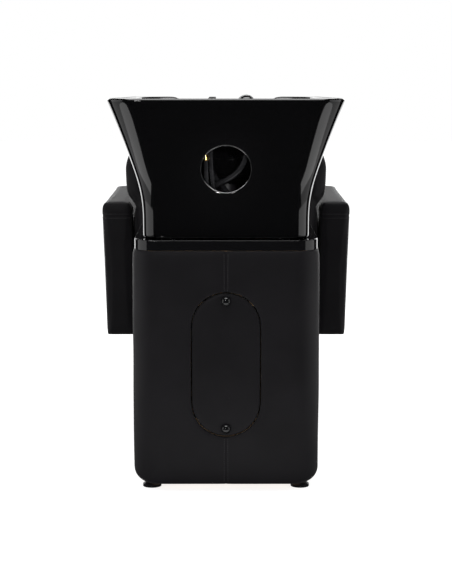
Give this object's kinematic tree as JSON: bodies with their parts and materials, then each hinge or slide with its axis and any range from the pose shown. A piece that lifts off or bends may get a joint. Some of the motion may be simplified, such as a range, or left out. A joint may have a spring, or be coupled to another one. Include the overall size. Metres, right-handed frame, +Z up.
{
  "type": "shampoo backwash unit",
  "caption": "Salon backwash unit: a tilting ceramic basin on a padded cabinet with a service hatch, joined to an upholstered armchair on a steel frame.",
  "frame": {"origin": "on the floor, in the middle of the unit's footprint", "axes": "+Z up; +Y from the basin towards the client's feet, along the unit's length; +X to the right of the operator who stands behind the basin"},
  "size_m": [0.6456, 1.1236, 0.931],
  "materials": {
    "black_glaze": "gloss black glaze",
    "black_gloss_plastic": "gloss",
    "black_plastic": "satin, moulded",
    "black_vinyl": "vinyl-coated upholstery cloth over foam",
    "plywood": "raw birch plywood",
    "black_steel": "black powder coat",
    "zinc_steel": "zinc plated",
    "chrome": "polished",
    "brass": "satin",
    "black_rubber": "smooth",
    "hose_rubber": "satin hose",
    "nylon": "natural nylon",
    "soft_gel": "soft matt gel"
  },
  "bodies": {
    "stand": {"cabinet_rear_board": "plywood", "cabinet_front_board": "plywood", "cabinet_side_boards": "plywood", "cabinet_corner_posts": "plywood", "cabinet_floor_board": "plywood", "cabinet_top_board": "plywood", "cabinet_cover": "black_vinyl", "collar_trim": "black_gloss_plastic", "hatch_crossbars": "plywood", "hatch_inserts": "brass", "tilt_base": "black_steel", "axle_bushes": "nylon", "rest_buffers": "black_rubber", "lock_quadrant": "black_steel", "cabinet_bolts": "zinc_steel", "hot_hose": "hose_rubber", "cold_hose": "hose_rubber", "waste_hose": "hose_rubber", "hose_nuts": "brass", "waste_collar": "black_plastic", "chair_frame": "black_steel", "chair_bolts": "zinc_steel", "seat_board": "plywood", "seat_base_pad": "black_vinyl", "seat_cushion": "black_vinyl", "backrest_board": "plywood", "backrest_cushion": "black_vinyl", "arm_cores": "plywood", "arm_cover_right": "black_vinyl", "arm_cover_left": "black_vinyl", "foot_sockets": "black_plastic"},
    "bowl": {"bowl": "black_glaze", "tilt_cradle": "black_steel", "tilt_axle": "zinc_steel", "cradle_bolts": "zinc_steel", "cradle_pads": "black_rubber", "drain_flange": "chrome", "drain_tail": "black_plastic", "mixer_body": "black_plastic", "deck_nuts": "brass", "shower_sleeve": "black_plastic", "hose_ferrules": "brass", "shower_hose": "hose_rubber"},
    "neck_rest": {"neck_rest": "soft_gel"},
    "strainer": {"strainer": "chrome"},
    "mixer_cap": {"mixer_cap": "black_plastic"},
    "mixer_lever": {"mixer_lever": "black_plastic"},
    "handset": {"handset": "black_gloss_plastic", "handset_face": "black_plastic"},
    "lock_handle": {"lock_handle": "black_steel"},
    "hatch": {"hatch_panel": "plywood", "hatch_cover": "black_vinyl"},
    "hatch_knob_upper": {"hatch_knob_upper": "black_gloss_plastic"},
    "hatch_knob_lower": {"hatch_knob_lower": "black_gloss_plastic"},
    "foot_rear_left": {"foot_rear_left": "black_plastic"},
    "foot_rear_right": {"foot_rear_right": "black_plastic"},
    "foot_front_left": {"foot_front_left": "black_plastic"},
    "foot_front_right": {"foot_front_right": "black_plastic"},
    "foot_leg_left": {"foot_leg_left": "black_plastic"},
    "foot_leg_right": {"foot_leg_right": "black_plastic"}
  },
  "joints": [
    {"name": "bowl_tilt", "type": "hinge", "parent": "stand", "child": "bowl", "pos_m": [0, -0.15334, 0.618], "axis": [-1, 0, 0], "range_deg": [0, 6], "deforming": ["hot_hose", "cold_hose", "waste_hose"]},
    {"name": "lock_turn", "type": "hinge", "parent": "bowl", "child": "lock_handle", "pos_m": [-0.133, -0.41034, 0.646], "axis": [-1, 0, 0], "range_deg": [0, 60]},
    {"name": "neck_rest_lift", "type": "slide", "parent": "bowl", "child": "neck_rest", "axis": [0, 0, 1], "range_m": [0, 0.06]},
    {"name": "strainer_lift", "type": "slide", "parent": "bowl", "child": "strainer", "axis": [0, 0, 1], "range_m": [0, 0.05]},
    {"name": "mixer_swivel", "type": "hinge", "parent": "bowl", "child": "mixer_cap", "pos_m": [-0.041, -0.48834, 0.908], "axis": [0, 0, 1], "range_deg": [-45, 45]},
    {"name": "mixer_lift", "type": "hinge", "parent": "mixer_cap", "child": "mixer_lever", "pos_m": [-0.041, -0.48834, 0.911], "axis": [0.9863, -0.165, 0], "range_deg": [0, 22]},
    {"name": "handset_lift", "type": "slide", "parent": "bowl", "child": "handset", "axis": [0, 0, 1], "range_m": [0, 0.12], "deforming": ["shower_hose"]},
    {"name": "hatch_slide", "type": "slide", "parent": "stand", "child": "hatch", "axis": [0, -1, 0], "range_m": [0, 0.06]},
    {"name": "hatch_knob_upper_turn", "type": "hinge", "parent": "hatch", "child": "hatch_knob_upper", "pos_m": [0, -0.51834, 0.457], "axis": [0, -1, 0], "continuous": true},
    {"name": "hatch_knob_lower_turn", "type": "hinge", "parent": "hatch", "child": "hatch_knob_lower", "pos_m": [0, -0.51834, 0.153], "axis": [0, -1, 0], "continuous": true},
    {"name": "foot_rear_left_turn", "type": "hinge", "parent": "stand", "child": "foot_rear_left", "pos_m": [-0.177, -0.45634, 0.01], "axis": [0, 0, 1], "continuous": true},
    {"name": "foot_rear_right_turn", "type": "hinge", "parent": "stand", "child": "foot_rear_right", "pos_m": [0.177, -0.45634, 0.01], "axis": [0, 0, 1], "continuous": true},
    {"name": "foot_front_left_turn", "type": "hinge", "parent": "stand", "child": "foot_front_left", "pos_m": [-0.177, -0.15034, 0.01], "axis": [0, 0, 1], "continuous": true},
    {"name": "foot_front_right_turn", "type": "hinge", "parent": "stand", "child": "foot_front_right", "pos_m": [0.177, -0.15034, 0.01], "axis": [0, 0, 1], "continuous": true},
    {"name": "foot_leg_left_turn", "type": "hinge", "parent": "stand", "child": "foot_leg_left", "pos_m": [-0.1805, 0.43666, 0.01], "axis": [0, 0, 1], "continuous": true},
    {"name": "foot_leg_right_turn", "type": "hinge", "parent": "stand", "child": "foot_leg_right", "pos_m": [0.1805, 0.43666, 0.01], "axis": [0, 0, 1], "continuous": true}
  ]
}
